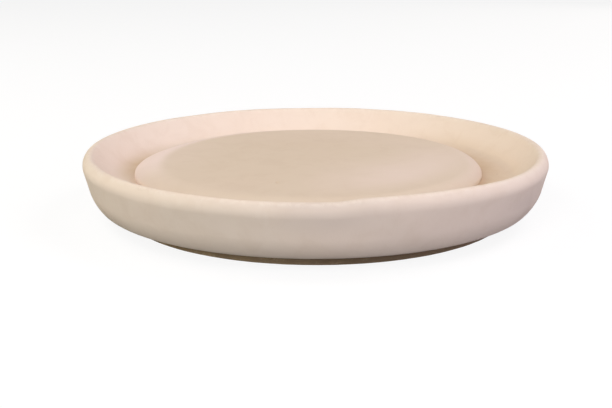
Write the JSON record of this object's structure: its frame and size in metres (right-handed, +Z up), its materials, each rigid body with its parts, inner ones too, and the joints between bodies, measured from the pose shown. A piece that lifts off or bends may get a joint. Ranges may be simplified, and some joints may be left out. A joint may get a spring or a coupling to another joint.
{
  "type": "plaster press mold",
  "caption": "Round shallow plaster mold with a rolled rim and a raised loose centre disc, on a hardboard bat, for pressing clay dishes.",
  "frame": {"origin": "centre of the underside of the board that the mold stands on", "axes": "+Z up through the middle of the dish, +X to the right and -Y to the front as the object is usually seen"},
  "size_m": [0.3048, 0.3048, 0.042],
  "materials": {
    "hardboard": "matte",
    "dish_plaster": "matte",
    "disc_plaster": "matte"
  },
  "bodies": {
    "board": {"base_board": "hardboard"},
    "dish": {"mold_body": "dish_plaster"},
    "disc": {"centre_disc": "disc_plaster"}
  },
  "joints": [
    {"name": "mold_lift", "type": "slide", "parent": "board", "child": "dish", "axis": [0, 0, 1], "range_m": [0, 0.08]},
    {"name": "disc_lift", "type": "slide", "parent": "dish", "child": "disc", "axis": [0, 0, 1], "range_m": [0, 0.05]}
  ]
}
